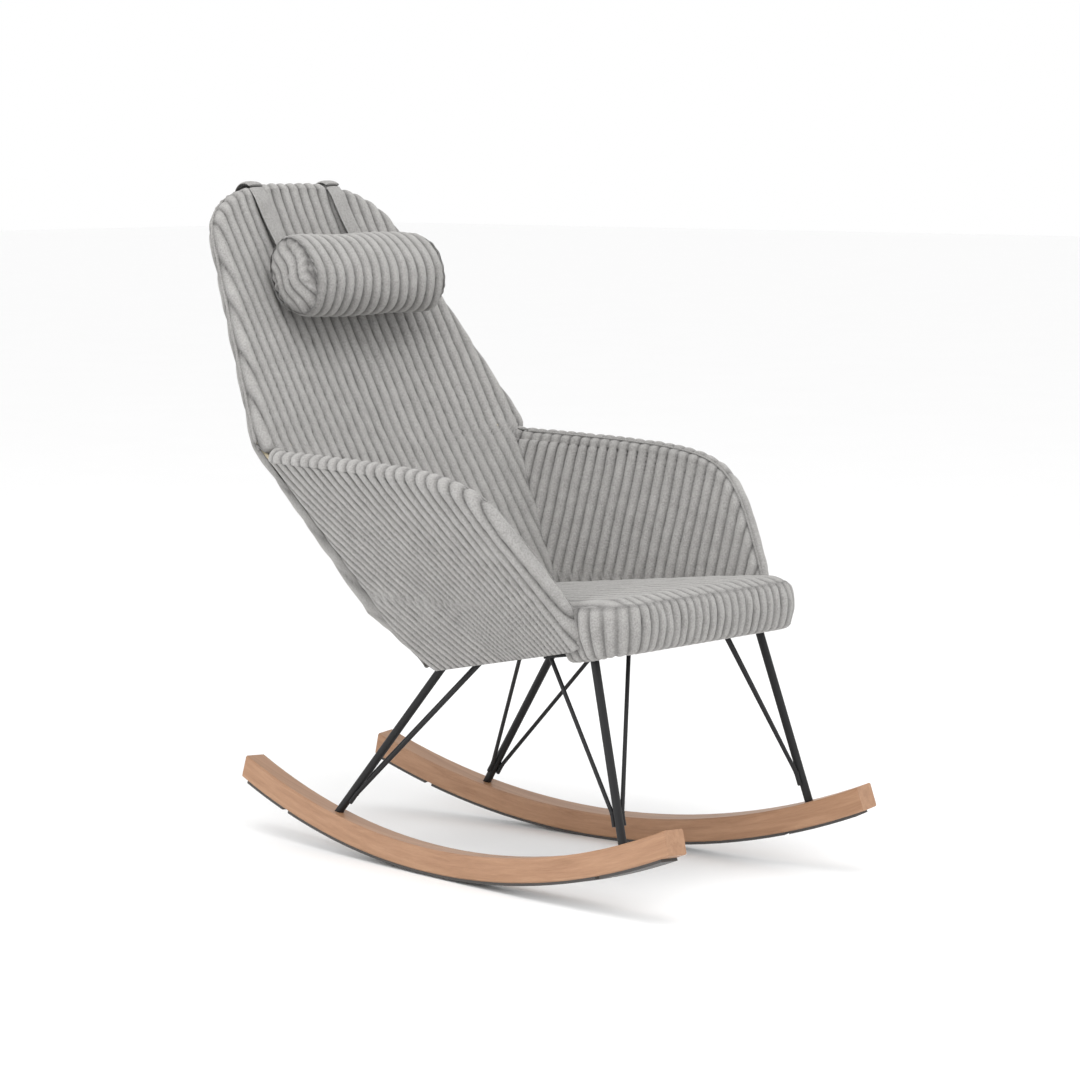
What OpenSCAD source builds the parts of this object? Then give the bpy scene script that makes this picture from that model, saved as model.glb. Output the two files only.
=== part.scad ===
// Rocking chair: upholstered bucket shell on splayed rod legs and two curved wooden rockers.
// Millimetres, +Z up, the sitter faces -Y. The floor is z = 0.

/* [Rockers] */
// Radius of the underside of the wooden rocker
rocker_radius = 1197; // [1100:5:1300]
// Width of the rocker's section
rocker_w = 35; // [32:1:40]
// Height of the rocker's section
rocker_h = 34; // [32:1:38]
// Thickness of the felt strips under the rocker
felt_t = 4; // [3:0.5:5]
// Distance of each rocker from the middle of the chair, where it touches the floor
rocker_half_gap = 180; // [170:1:200]
// Angle by which the rockers open towards the front, in degrees
toe = 4.65; // [3:0.05:6]
// Angle by which the rockers lean in with the splayed legs, in degrees
splay = 3.8; // [2:0.1:5]
// Arc in front of the floor contact, in degrees
front_arc = 22.9; // [20:0.1:24]
// Arc behind the floor contact, in degrees
rear_arc = 20.7; // [19:0.1:23]

/* [Legs] */
// Diameter of the main bar of each leg
bar_d = 12; // [10:1:14]
// Diameter of the two thin bracing rods of each leg
rod_d = 6; // [5:0.5:8]
// Thickness of the steel mounting plates
plate_t = 3; // [2:0.5:4]

/* [Shell] */
// Lean of the back from the vertical, in degrees
recline = 32; // [28:0.5:35]
// Half the width of the back at seat level, at mid thickness
seat_half_w = 200; // [190:1:215]
// Half the width of the back where the arms meet it
junction_half_w = 262; // [250:1:275]
// Half the width of the back at its shoulders
shoulder_half_w = 179; // [165:1:195]
// Length of the back from seat level to the arm junction
junction_s = 276; // [260:1:290]
// Length of the back from seat level to the shoulders
shoulder_s = 600; // [580:5:615]
// Rise of the rounded top above the shoulders
top_rise = 86; // [75:1:105]
// Radius of the rolled rim, which is half the thickness of the shell at its edge
rim_r = 14; // [13:0.5:16]
// Depth of the dish in the front of the back
dish = 18; // [10:1:22]
// Swell of the outside of the back
swell = 26; // [20:1:32]

/* [Head pillow] */
// Half the length of the head pillow
pillow_half_l = 141; // [130:1:160]
// Half the height of the head pillow
pillow_half_h = 62; // [55:1:65]
// Half the thickness of the head pillow
pillow_half_t = 47; // [42:1:52]
// Width of the two hanging straps
strap_w = 28; // [22:1:32]
// Distance of each strap from the middle
strap_x = 80; // [65:1:90]

/* [Hidden] */
$fn = 48;

// The floor contact lies a little in front of the middle of the chair's length
contact_y = -18;
gap = 0.4;
cover_t = 2;
wood = "#c99a6b";
ply = "#d8bd92";
steel = "#1d1d1f";
felt = "#4b4744";
cloth = "#aaa6a1";
foam = "#e8dfc8";

// ---- General helpers ----

function lerp(a, b, t) = a + (b - a) * t;
function flat(rows) = [for (row = rows) for (p = row) p];
function mirrored(p) = [-p[0], p[1], p[2]];

module seated() translate([0, contact_y, 0]) children();
module on_side(side) if (side > 0) children(); else mirror([1, 0, 0]) children();

// Aims the children's +Z from point a towards point b
module along(a, b) {
  d = b - a;
  translate(a) rotate([0, acos(d[2] / norm(d)), atan2(d[1], d[0])]) children();
}

module rod(a, b, r) along(a, b) cylinder(r = r, h = norm(b - a));

// Closed solid between two grids of points of equal size, front seen from outside
module slab(front, rear) {
  n = len(front);
  m = len(front[0]);
  k = n * m;
  points = concat(flat(front), flat(rear));
  faces = concat(
    [for (i = [0:n - 2]) for (j = [0:m - 2]) each [
      [i * m + j, i * m + j + 1, (i + 1) * m + j + 1],
      [i * m + j, (i + 1) * m + j + 1, (i + 1) * m + j],
      [k + i * m + j, k + (i + 1) * m + j + 1, k + i * m + j + 1],
      [k + i * m + j, k + (i + 1) * m + j, k + (i + 1) * m + j + 1]]],
    [for (j = [0:m - 2]) each [
      [j, k + j, k + j + 1], [j, k + j + 1, j + 1],
      [(n - 1) * m + j, k + (n - 1) * m + j + 1, k + (n - 1) * m + j],
      [(n - 1) * m + j, (n - 1) * m + j + 1, k + (n - 1) * m + j + 1]]],
    [for (i = [0:n - 2]) each [
      [i * m, k + (i + 1) * m, k + i * m], [i * m, (i + 1) * m, k + (i + 1) * m],
      [i * m + m - 1, k + i * m + m - 1, k + (i + 1) * m + m - 1],
      [i * m + m - 1, k + (i + 1) * m + m - 1, (i + 1) * m + m - 1]]]);
  polyhedron(points, faces, convexity = 6);
}

// Round tube of radius r through a list of points, with flat ends
module tube(path, r, sides = 8) {
  n = len(path);
  ring = [for (i = [0:n - 1])
    let(d = path[min(i + 1, n - 1)] - path[max(i - 1, 0)],
        t = d / norm(d),
        a = cross(t, [0, 0.8, -0.6]), u = a / norm(a), v = cross(t, u))
    [for (k = [0:sides - 1]) path[i] + r * (cos(360 * k / sides) * u + sin(360 * k / sides) * v)]];
  faces = concat(
    [[for (k = [0:sides - 1]) k]],
    [[for (k = [sides - 1:-1:0]) (n - 1) * sides + k]],
    [for (i = [0:n - 2]) for (k = [0:sides - 1]) each [
      [i * sides + k, (i + 1) * sides + k, (i + 1) * sides + (k + 1) % sides],
      [i * sides + k, (i + 1) * sides + (k + 1) % sides, i * sides + (k + 1) % sides]]]);
  polyhedron(flat(ring), faces, convexity = 4);
}

// ---- Rockers and felt strips ----

arc_r = rocker_radius + felt_t;
// The inner lower edge of a leaning strip would dip below the floor without this lift
lift = rocker_w / 2 * sin(splay);

// Frame of a right-hand rocker: its floor contact is the origin and its arc lies in the YZ plane
module rocker_frame() translate([rocker_half_gap, 0, lift]) rotate([0, 0, toe]) rotate([0, -splay, 0]) children();

// Sweeps a section about the rocker's axis, from angle a in front to angle b behind
module swept(a, b) translate([0, 0, arc_r]) rotate([0, 90, 0]) rotate([0, 0, -a])
  rotate_extrude(angle = a + b, $fn = 240) children();

chamfer = 2;
module rocker_section() {
  r0 = arc_r - felt_t - rocker_h;
  r1 = arc_r - felt_t;
  w = rocker_w / 2;
  polygon([[r0, chamfer - w], [r0 + chamfer, -w], [r1 - chamfer, -w], [r1, chamfer - w],
    [r1, w - chamfer], [r1 - chamfer, w], [r0 + chamfer, w], [r0, w - chamfer]]);
}

// Point on top of the rocker at angle a in front of the floor contact, on its middle line
function rocker_top(a) =
  let(r = arc_r - felt_t - rocker_h, s = r * sin(a), z = arc_r - r * cos(a),
      x = -z * sin(splay), z2 = z * cos(splay))
  [rocker_half_gap + x * cos(toe) + s * sin(toe), x * sin(toe) - s * cos(toe), z2 + lift];

// ---- Seat base frame: a plane under the seat, tilted down to the rear ----

base_y = -310;
base_z = 352;
base_tilt = 9.7;
module on_base() translate([0, base_y, base_z]) rotate([-base_tilt, 0, 0]) children();
// A point given in the base frame, as a point of the chair
function base_pt(p) = [p[0], base_y + p[1] * cos(base_tilt) + p[2] * sin(base_tilt),
  base_z - p[1] * sin(base_tilt) + p[2] * cos(base_tilt)];

plate_z = -plate_t - gap;
// Where the line from a through b meets the underside of the mounting plates
function at_plate(a, b) =
  let(n = [0, sin(base_tilt), cos(base_tilt)], o = base_pt([0, 0, plate_z]),
      t = ((o - a) * n) / ((b - a) * n)) a + (b - a) * t;

// ---- Legs ----

// Each leg is [angle of its foot on the rocker, a point on its line, tops of its two rods in the base frame]
front_leg = [18.35, [170, -270, 415], [[102, 22], [186, 90]]];
rear_leg = [-10.8, [105, -26, 377], [[42, 356], [131, 273]]];
function foot(leg) = rocker_top(leg[0]);
function leg_top(leg) = at_plate(foot(leg), leg[1]);
function leg_dir(leg) = (leg[1] - foot(leg)) / norm(leg[1] - foot(leg));
socket = 15;
weld_start = 26;
weld_end = 44;

// Clears everything above the underside of the mounting plates
module above_plates() on_base() translate([-400, -200, plate_z - 0.1]) cube([800, 800, 200]);

module leg_bar(leg) color(steel) difference() {
  rod(foot(leg) - socket * leg_dir(leg), leg_top(leg) + 30 * leg_dir(leg), bar_d / 2);
  above_plates();
  along(foot(leg) - socket * leg_dir(leg), leg_top(leg)) translate([0, 0, -1]) cylinder(r = 2.6, h = 26);
}

// A thin rod that runs beside the foot of the bar and fans out to its end on the mounting plate
module leg_rod(leg, end) color(steel) difference() {
  tip = base_pt([end[0], end[1], plate_z]);
  d = leg_dir(leg);
  away = tip - leg_top(leg);
  side = away - (away * d) * d;
  out = side / norm(side) * (bar_d / 2 + rod_d / 2 + 0.1);
  low = foot(leg) + weld_start * d + out;
  bend = foot(leg) + weld_end * d + out;
  union() {
    rod(low, bend, rod_d / 2);
    // A small bead where the rod leaves the bar
    translate(bend) sphere(r = rod_d / 2 + 0.5);
    rod(bend, tip + (tip - bend) * 0.06, rod_d / 2);
  }
  above_plates();
}

plate_holes_front = [[96, 4], [140, 6], [184, 52], [152, 66]];
plate_holes_rear = [[50, 338], [88, 326], [112, 258], [130, 310]];
function hull_outline(leg) = leg == front_leg
  ? [[86, -4], [184, -4], [192, 6], [192, 98], [170, 100], [86, 36]]
  : [[34, 326], [84, 290], [100, 248], [132, 248], [140, 272], [140, 366], [124, 374], [34, 374]];
function plate_holes(leg) = leg == front_leg ? plate_holes_front : plate_holes_rear;

module leg_plate(leg) color(steel) on_base() translate([0, 0, plate_z]) difference() {
  linear_extrude(plate_t) polygon(hull_outline(leg));
  for (p = plate_holes(leg)) translate([p[0], p[1], -1]) cylinder(r = 2.6, h = plate_t + 2);
}

module screw(length, head_r, shank_r, head_h) {
  translate([0, 0, -head_h]) cylinder(r = head_r, h = head_h);
  cylinder(r = shank_r, h = length);
}

module plate_screws() color("silver")
  for (side = [-1, 1]) on_side(side) for (leg = [front_leg, rear_leg]) on_base()
    for (p = plate_holes(leg)) translate([p[0], p[1], plate_z - 0.1]) screw(20, 4.5, 2.2, 2.4);

// Bolts run up through each rocker on the line of the leg and screw into its bar
bolt_seat = 14;
module bolt_line(leg) along(foot(leg) - socket * leg_dir(leg), leg_top(leg)) children();
module rocker_bolts() color("silver")
  for (side = [-1, 1]) on_side(side) for (leg = [front_leg, rear_leg])
    bolt_line(leg) translate([0, 0, -10]) screw(32, 5, 2.5, 3);

module rocker() color(wood) difference() {
  rocker_frame() difference() {
    swept(front_arc + 0.6, rear_arc + 0.6) rocker_section();
    // The ends are sawn off more upright than the radius
    translate([0, 0, arc_r]) rotate([-front_arc, 0, 0]) translate([-40, -60, -arc_r - 20]) rotate([6, 0, 0])
      cube([80, 60, 80]);
    translate([0, 0, arc_r]) rotate([rear_arc, 0, 0]) translate([-40, 0, -arc_r - 20]) rotate([-6, 0, 0])
      cube([80, 60, 80]);
  }
  for (leg = [front_leg, rear_leg]) bolt_line(leg) {
    translate([0, 0, -0.3]) cylinder(r = bar_d / 2 + 0.2, h = 60);
    translate([0, 0, -60]) cylinder(r = 3, h = 80);
    translate([0, 0, -70]) cylinder(r = 6.5, h = 60.1);
  }
}

// Three felt strips under each rocker, with gaps between them
felt_spans = [[-20.2, -15.9], [-15.3, 16.1], [16.5, 22.2]];
module felt_pads() color(felt) rocker_frame()
  for (span = felt_spans) swept(span[1], -span[0])
    translate([arc_r - felt_t + 0.05, -rocker_w / 2 + 2]) square([felt_t - 0.05, rocker_w - 4]);

// ---- Seat base: boards, rails and blocks, in the base frame ----

// Half outline of the base in plan, from the middle of the front to the middle of the rear, drawn in by inset
function base_outline(inset) = concat(
  [for (a = [0:15:90]) [152 + (52 - inset) * sin(a), 25 - (52 - inset) * cos(a)]],
  [for (a = [0:15:90]) [118 + (40 - inset) * cos(a), 325 + (40 - inset) * sin(a)]]);
function whole(half) = concat(half, [for (i = [len(half) - 1:-1:0]) [-half[i][0], half[i][1]]]);
module base_plate(inset, z, t) on_base() translate([0, 0, z]) linear_extrude(t) polygon(whole(base_outline(inset)));

dust_t = 1.5;
rail_z = dust_t + gap;
rail_h = 18;
board_z = rail_z + rail_h + gap;
board_t = 10;
foam_z = board_z + board_t + gap;

module dust_cover() color("#232323") difference() {
  base_plate(16, 0, dust_t);
  for (side = [-1, 1]) on_side(side) on_base() for (leg = [front_leg, rear_leg]) for (p = plate_holes(leg))
    translate([p[0], p[1], -1]) cylinder(r = 2.6, h = 4);
}
module rail(a, b, w) {
  d = b - a;
  on_base() translate([a[0], a[1], rail_z]) rotate([0, 0, atan2(d[1], d[0])])
    translate([0, -w / 2, 0]) cube([norm(d), w, rail_h]);
}
module front_rail() color(ply) difference() {
  rail([-76, -6], [76, -6], 22);
  pilots();
}
module rear_rail() color(ply) difference() {
  rail([-36, 340], [36, 340], 22);
  pilots();
}
module side_rails() color(ply) difference() {
  for (side = [-1, 1]) on_side(side) rail([174, 116], [144, 236], 20);
  pilots();
}
module corner_blocks() color(ply) difference() {
  for (side = [-1, 1]) on_side(side) on_base() translate([0, 0, rail_z]) linear_extrude(rail_h) {
    polygon([[82, -12], [160, -12], [190, 12], [190, 104], [140, 104], [82, 44]]);
    polygon([[40, 316], [76, 296], [98, 244], [146, 244], [140, 335], [118, 352], [40, 352]]);
  }
  for (side = [-1, 1]) on_side(side) on_base() for (leg = [front_leg, rear_leg]) for (p = plate_holes(leg))
    translate([p[0], p[1], 0]) cylinder(r = 2.3, h = 18);
  pilots();
}
board_holes = [[54, -6], [172, 84], [160, 170], [124, 282], [22, 340]];
module seat_board() color(ply) difference() {
  base_plate(14, board_z, board_t);
  for (side = [-1, 1]) on_side(side) on_base() for (p = board_holes)
    translate([p[0], p[1], board_z - 1]) {
      cylinder(r = 2.2, h = board_t + 2);
      translate([0, 0, board_t - 2]) cylinder(r = 4.1, h = 4);
    }
}
// Clears the pilot holes of the board screws from the wood below
module pilots() for (side = [-1, 1]) on_side(side) on_base() for (p = board_holes)
  translate([p[0], p[1], board_z - 13]) cylinder(r = 2.1, h = 20);
module board_screws() color("silver") for (side = [-1, 1]) on_side(side) on_base() for (p = board_holes)
  translate([p[0], p[1], board_z + board_t - 2.9]) mirror([0, 0, 1]) screw(20, 3.9, 2, 2.4);

// ---- Seat cushion ----

seat_tilt = 6.2;
seat_front_z = 414;
// Keeps what lies under the plane of the seat's top, lowered by drop
module under_seat_top(drop) intersection() {
  children();
  translate([0, -335, seat_front_z - drop]) rotate([-seat_tilt, 0, 0]) translate([-300, -60, -200]) cube([600, 600, 200]);
}
function seat_outline(inset) = concat(
  [for (a = [0:15:90]) [146 + (52 - inset) * sin(a), 12 - (52 - inset) * cos(a)]],
  [for (a = [0:15:90]) [124 + (30 - inset) * cos(a), 350 + (30 - inset) * sin(a)]]);
module seat_block(inset, z0, z1) on_base() translate([0, 0, z0]) linear_extrude(z1 - z0)
  polygon(whole(seat_outline(inset)));

module seat_foam() color(foam) under_seat_top(cover_t + gap) seat_block(cover_t + gap, foam_z, 140);
module seat_cover() color(cloth) difference() {
  under_seat_top(0) seat_block(cover_t + gap, foam_z, 140);
  translate([0, -335, seat_front_z - cover_t]) rotate([-seat_tilt, 0, 0]) translate([-300, -60, -200]) cube([600, 600, 200]);
}
// The boxing strip across the front of the seat, down to the dust cover
module seat_border() color(cloth) difference() {
  under_seat_top(0) seat_block(0, -7, 140);
  on_base() translate([0, 0, -9]) linear_extrude(170) polygon(whole(seat_outline(cover_t)));
  on_base() translate([-300, 30, -9]) cube([600, 500, 160]);
}

// ---- Back: a leaning shell with a rolled rim ----

seat_rear_y = 115;
seat_rear_z = 369;
// x across, s along the slope from seat level, d depth to the rear of the middle surface
function back_pt(x, s, d) = [x, seat_rear_y + s * sin(recline) + d * cos(recline),
  seat_rear_z + s * cos(recline) - d * sin(recline)];
function half_w(s) = s <= junction_s ? lerp(seat_half_w, junction_half_w, s / junction_s)
  : lerp(junction_half_w, shoulder_half_w, (s - junction_s) / (shoulder_s - junction_s));

// The rounded top is a superellipse: angle a is 0 at the shoulder and 90 at the crest
round_power = 0.74;
function top_row(a) = let(s = shoulder_s + top_rise * pow(sin(a), round_power))
  [half_w(s) * pow(cos(a), round_power), s];
// Rows of the back as [half width, s], from seat level to the crest
below_rows = [for (s = [0:46:230]) [half_w(s), s]];
above_rows = concat([[half_w(262), 262]], [for (i = [1:6]) let(s = lerp(junction_s + 2, shoulder_s, (i - 1) / 5)) [half_w(s), s]],
  [for (a = [14, 28, 42, 55, 66, 76, 84]) top_row(a)]);
back_rows = concat(below_rows, above_rows);
n_rows = len(back_rows);
// Outward direction of the outline at a row, as [x, s]
function row_normal(i) =
  let(a = back_rows[max(i - 1, 0)], b = back_rows[min(i + 1, n_rows - 1)], t = b - a) [t[1], -t[0]] / norm(t);

u_steps = [-1, -0.8, -0.6, -0.4, -0.2, 0, 0.2, 0.4, 0.6, 0.8, 1];
roll = [30, 58, 80];
cols = concat([for (k = [2:-1:0]) [-1, roll[k]]], [for (u = u_steps) [u, 0]], [for (k = [0:2]) [1, roll[k]]]);

// Radius of the rounded rear corners, which grows below the arm junction
function corner_r(s) = s >= junction_s ? rim_r : lerp(50, rim_r, s / junction_s);

// A point of the back's surface. side is -1 for the front and 1 for the rear, r the half thickness
function back_surface(i, e_row, col, side, r) =
  let(row = back_rows[i], n = e_row > 0 ? [0, 1] : row_normal(i), u = col[0], e = max(e_row, col[1]),
      narrow = side < 0 && row[1] < junction_s, k = pow(row[0] / junction_half_w, 2) * (1 - u * u) * cos(e),
      sx = u < 0 ? -1 : 1, more = side > 0 ? corner_r(row[1]) - rim_r : 0)
  narrow ? back_pt(u * (row[0] - rim_r - 2 - (rim_r - r)), row[1], -r + dish * k + 8 * col[1] / 80)
    : back_pt(u * (row[0] - more) + (e_row > 0 ? 0 : sx * n[0] * (r + more) * sin(e)), row[1] + n[1] * r * sin(e),
        side * ((r + more) * cos(e) - more) + (side < 0 ? dish : swell) * k);
function back_grid(side, r, first = 0) = concat(
  [for (i = [first:n_rows - 1]) [for (c = cols) back_surface(i, 0, c, side, r)]],
  [for (e = roll) [for (c = cols) back_surface(n_rows - 1, e, [c[0] * (1 - c[1] / 1000), 0], side, r)]]);

// The rear carries on below seat level and curls under to the base
under_steps = [1, 0.8, 0.6, 0.4, 0.2];
function under_grid(r) = [for (v = under_steps) [for (c = cols)
  let(top = back_surface(0, 0, c, 1, r), k = 1 - c[0] * c[0],
      end = [top[0] * 0.72, 70 - 14 * (1 - k), 289 - (r - rim_r)],
      knee = [top[0] * (0.9 - 0.05 * (1 - k)), top[1] - 22 - 28 * (1 - k), 306 + 14 * (1 - k) - (r - rim_r)])
  (1 - v) * (1 - v) * top + 2 * v * (1 - v) * knee + v * v * end]];
function rear_grid(r) = concat(under_grid(r), back_grid(1, r));

foam_r = rim_r - cover_t - gap;
module back_foam() color(foam) slab(back_grid(1, foam_r), back_grid(-1, foam_r));
module back_cover_front() color(cloth) slab(back_grid(-1, rim_r - cover_t), back_grid(-1, rim_r));
module back_cover_rear() color(cloth) slab(rear_grid(rim_r), rear_grid(rim_r - cover_t));

// Steel tube bent into a hoop inside the back's foam
hoop_inset = 34;
hoop_r = 4;
function hoop_point(row) = [row[0] - hoop_inset, min(row[1], shoulder_s + top_rise - hoop_inset)];
hoop_half = [for (i = [0:n_rows - 3]) if (back_rows[i][0] > hoop_inset + 40) hoop_point(back_rows[i])];
hoop_path = concat([for (p = hoop_half) back_pt(p[0], p[1] + 12, 3)],
  [for (i = [len(hoop_half) - 1:-1:0]) back_pt(-hoop_half[i][0], hoop_half[i][1] + 12, 3)]);
module back_hoop() color(steel) tube(hoop_path, hoop_r);

// ---- Arms and outer sides ----

arm_top_s = 244;
// Depth of the arm's rear edge below the top, on its inner and its outer face
inner_back_d = -12;
outer_back_d = -37;
rim_start = [213, -264, 406];
rim_knee = [276, -160, 572];
rim_end = [264, 222, 577];
knee_weight = 3.5;
// Middle line of the arm's rolled rim: a conic from the seat's front over the knee to the back
function rim_line(t) =
  let(a = (1 - t) * (1 - t), b = 2 * knee_weight * t * (1 - t), c = t * t)
  (a * rim_start + b * rim_knee + c * rim_end) / (a + b + c);
function rim_t(q) = pow(q, 2.4);
function arm_back(q, side) = back_pt(half_w(q * arm_top_s), q * arm_top_s,
  lerp(side > 0 ? outer_back_d : inner_back_d, -5, q));
// Lower corners of the outer side, at the rear and at the front of the base
side_low_rear = [168, 40, 292];
side_low_front = [197, -283, 350];
// Middle surface of the side: p from rear to front, q from -1 at the base through 0 at the seat to 1 at the top
function side_mid(p, q, side) = q >= 0 ? lerp(arm_back(q, side), rim_line(rim_t(q)), p)
  : lerp(lerp(arm_back(0, side), side_low_rear, -q), lerp(rim_start, side_low_front, -q), p);
bulge = 9;
function bulge_at(p, q) = bulge * 4 * p * (1 - p) * (q >= 0 ? sqrt(1 - q) : 1 - 0.5 * q * q);
// Direction in which the rim's roll stands out, square to the rim and level with X
function rim_out(q) =
  let(a = rim_line(max(rim_t(q) - 0.02, 0)), b = rim_line(min(rim_t(q) + 0.02, 1)), t = b - a)
  [0, -t[2], t[1]] / norm([0, -t[2], t[1]]);

p_steps = [0, 0.03, 0.14, 0.28, 0.42, 0.56, 0.7, 0.84, 0.95, 1];
q_arm = [0, 0.12, 0.24, 0.36, 0.48, 0.6, 0.7, 0.8, 0.88, 0.95, 1];
q_low = [-1, -0.75, -0.5, -0.25];
// Roll columns past the rim: angle round the rim from the outer face
function side_row(q, side, r, rolls) = concat(
  [for (p = p_steps) side_mid(p, q, side) + [side * (r * (p == 0 && side > 0 ? 0.5 : 1)) + bulge_at(p, q), 0, 0]],
  [for (e = rolls) side_mid(1, q, side) + [side * r * cos(e), 0, 0] + r * sin(e) * rim_out(max(q, 0))]);
function side_grid(qs, side, r, rolls = [25, 50, 72]) = [for (q = qs) side_row(q, side, r, rolls)];

module arm_foam() color(foam) slab(side_grid(q_arm, 1, foam_r), side_grid(q_arm, -1, foam_r));
module arm_cover() color(cloth) slab(side_grid(q_arm, -1, rim_r - cover_t), side_grid(q_arm, -1, rim_r));
module side_cover() color(cloth)
  slab(side_grid(concat(q_low, q_arm), 1, rim_r), side_grid(concat(q_low, q_arm), 1, rim_r - cover_t));
module arm_wire() color(steel) tube([for (t = [0.04:0.0445:0.94]) rim_line(t) - [0, 0, 15]], 3.5);

// ---- Head pillow and its straps ----

pillow_s = 508;
pillow_d = -63;
// Moves the pillow's own frame into place: X across, Y to the rear, Z up the slope
module on_back(s, d) translate(back_pt(0, s, d)) rotate([-recline, 0, 0]) children();

module pillow_solid(l, h, t, sides = 32) {
  rings = [for (a = [-84, -72, -58, -42, -25, 0, 25, 42, 58, 72, 84])
    [for (k = [0:sides - 1]) let(c = pow(cos(a), 0.34))
      [l * sin(a), t * c * cos(360 * k / sides), h * c * sin(360 * k / sides)]]];
  n = len(rings);
  faces = concat([[for (k = [0:sides - 1]) k]], [[for (k = [sides - 1:-1:0]) (n - 1) * sides + k]],
    [for (i = [0:n - 2]) for (k = [0:sides - 1]) each [
      [i * sides + k, (i + 1) * sides + k, (i + 1) * sides + (k + 1) % sides],
      [i * sides + k, (i + 1) * sides + (k + 1) % sides, i * sides + (k + 1) % sides]]]);
  polyhedron(flat(rings), faces, convexity = 4);
}
module pillow_fill() color(foam) on_back(pillow_s, pillow_d)
  pillow_solid(pillow_half_l - 3, pillow_half_h - 3, pillow_half_t - 3);
module pillow_cover() color(cloth) on_back(pillow_s, pillow_d) difference() {
  pillow_solid(pillow_half_l, pillow_half_h, pillow_half_t);
  pillow_solid(pillow_half_l - 2.4, pillow_half_h - 2.4, pillow_half_t - 2.4);
}

strap_t = 3;
crest_s = shoulder_s + top_rise * 0.945 + rim_r;
// The rear straps lie on the outside of the back, which leans a little against the slope of the front
patch_s = 460;
patch_d = 30.2;
rear_lean = 2.5;
tab_s = 504;
module strap_pair() for (x = [-strap_x, strap_x]) translate([x, 0, 0]) children();
// A flat strap of the given length up the slope, at depth d behind the middle surface
module strap(s, d, length, lean = 0) on_back(s, d) rotate([lean, 0, 0])
  strap_pair() translate([-strap_w / 2, 0, 0]) cube([strap_w, strap_t, length]);

module straps_front() color(cloth) strap(pillow_s + 48, -30, 138, -5);
module straps_top() color(cloth) on_back(crest_s + 0.5, -22) strap_pair()
  translate([-strap_w / 2, 0, 0]) cube([strap_w, 44, strap_t]);
module straps_rear() color(cloth) strap(tab_s + 71, patch_d, 118.5, 5);
module strap_tabs() color("#8f8b86") strap(tab_s, patch_d + 0.6, 70, rear_lean);
module loop_patches() color("#8f8b86") on_back(patch_s, patch_d + 0.5) rotate([rear_lean, 0, 0]) strap_pair()
  translate([-strap_w / 2 - 4, 0, 0]) cube([strap_w + 8, 1.5, 180]);

// ---- The nodes ----

seated() on_side(1) rocker();  // rocker_left
seated() on_side(-1) rocker();  // rocker_right
seated() on_side(1) felt_pads();  // felt_pads_left
seated() on_side(-1) felt_pads();  // felt_pads_right
seated() on_side(1) leg_bar(front_leg);  // leg_bar_front_left
seated() on_side(-1) leg_bar(front_leg);  // leg_bar_front_right
seated() on_side(1) leg_bar(rear_leg);  // leg_bar_rear_left
seated() on_side(-1) leg_bar(rear_leg);  // leg_bar_rear_right
seated() on_side(1) leg_rod(front_leg, front_leg[2][0]);  // rod_front_inner_left
seated() on_side(-1) leg_rod(front_leg, front_leg[2][0]);  // rod_front_inner_right
seated() on_side(1) leg_rod(front_leg, front_leg[2][1]);  // rod_front_back_left
seated() on_side(-1) leg_rod(front_leg, front_leg[2][1]);  // rod_front_back_right
seated() on_side(1) leg_rod(rear_leg, rear_leg[2][0]);  // rod_rear_inner_left
seated() on_side(-1) leg_rod(rear_leg, rear_leg[2][0]);  // rod_rear_inner_right
seated() on_side(1) leg_rod(rear_leg, rear_leg[2][1]);  // rod_rear_fore_left
seated() on_side(-1) leg_rod(rear_leg, rear_leg[2][1]);  // rod_rear_fore_right
seated() on_side(1) leg_plate(front_leg);  // leg_plate_front_left
seated() on_side(-1) leg_plate(front_leg);  // leg_plate_front_right
seated() on_side(1) leg_plate(rear_leg);  // leg_plate_rear_left
seated() on_side(-1) leg_plate(rear_leg);  // leg_plate_rear_right
seated() rocker_bolts();
seated() plate_screws();
seated() dust_cover();
seated() side_rails();
seated() front_rail();
seated() rear_rail();
seated() corner_blocks();
seated() seat_board();
seated() board_screws();
seated() seat_foam();
seated() seat_cover();
seated() seat_border();
seated() back_hoop();
seated() back_foam();
seated() back_cover_front();
seated() back_cover_rear();
seated() on_side(1) arm_wire();  // arm_wire_left
seated() on_side(-1) arm_wire();  // arm_wire_right
seated() on_side(1) arm_foam();  // arm_foam_left
seated() on_side(-1) arm_foam();  // arm_foam_right
seated() on_side(1) arm_cover();  // arm_cover_left
seated() on_side(-1) arm_cover();  // arm_cover_right
seated() on_side(1) side_cover();  // side_cover_left
seated() on_side(-1) side_cover();  // side_cover_right
seated() pillow_fill();
seated() pillow_cover();
seated() straps_front();
seated() straps_top();
seated() straps_rear();
seated() strap_tabs();
seated() loop_patches();
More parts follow.
